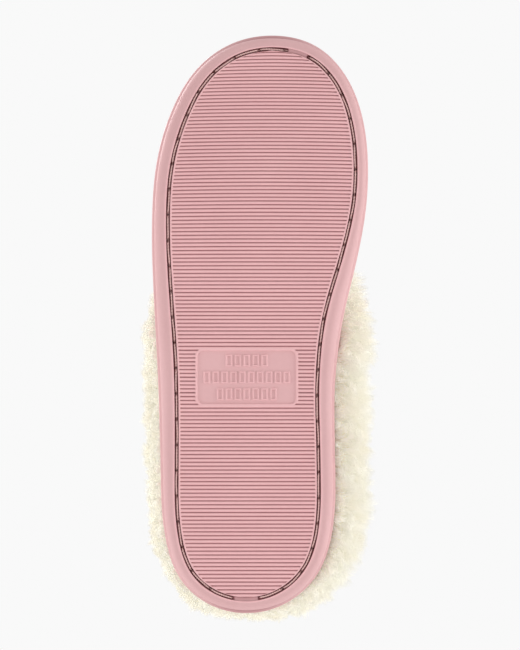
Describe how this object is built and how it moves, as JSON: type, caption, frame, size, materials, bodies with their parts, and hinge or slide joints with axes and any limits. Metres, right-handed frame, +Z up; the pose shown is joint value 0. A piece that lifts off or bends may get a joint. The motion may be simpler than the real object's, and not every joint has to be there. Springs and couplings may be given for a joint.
{
  "type": "house slipper",
  "caption": "Closed-back house slipper for the right foot: ribbed moulded sole with a sewn channel, padded vamp and a deep fur cuff round the opening.",
  "frame": {"origin": "on the ground under the middle of the slipper's own box", "axes": "toe towards -Y, heel towards +Y, inner (medial) side of the foot towards +X, +Z up"},
  "size_m": [0.1054, 0.2582, 0.0953],
  "materials": {
    "sole_rubber": "matt moulded rubber, fine ribs",
    "stitching_thread": "twisted polyester thread",
    "insole_board": "fibreboard",
    "foam": "soft open-cell foam",
    "plush_lining": "short plush pile",
    "velour": "short-pile velour",
    "heel_stiffener": "impregnated stiffener sheet",
    "faux_fur": "long soft pile, cream"
  },
  "bodies": {
    "root": {"outsole": "sole_rubber", "sole_stitching": "stitching_thread", "insole_board": "insole_board", "foam_midsole": "foam", "memory_foam_insole": "foam", "sock_lining": "plush_lining", "vamp_outer": "velour", "vamp_padding": "foam", "vamp_lining": "plush_lining", "quarter_medial": "velour", "quarter_lateral": "velour", "heel_counter": "heel_stiffener", "collar_foam": "foam", "quarter_lining": "plush_lining", "fur_cuff_medial": "faux_fur", "fur_cuff_lateral": "faux_fur"}
  },
  "joints": []
}
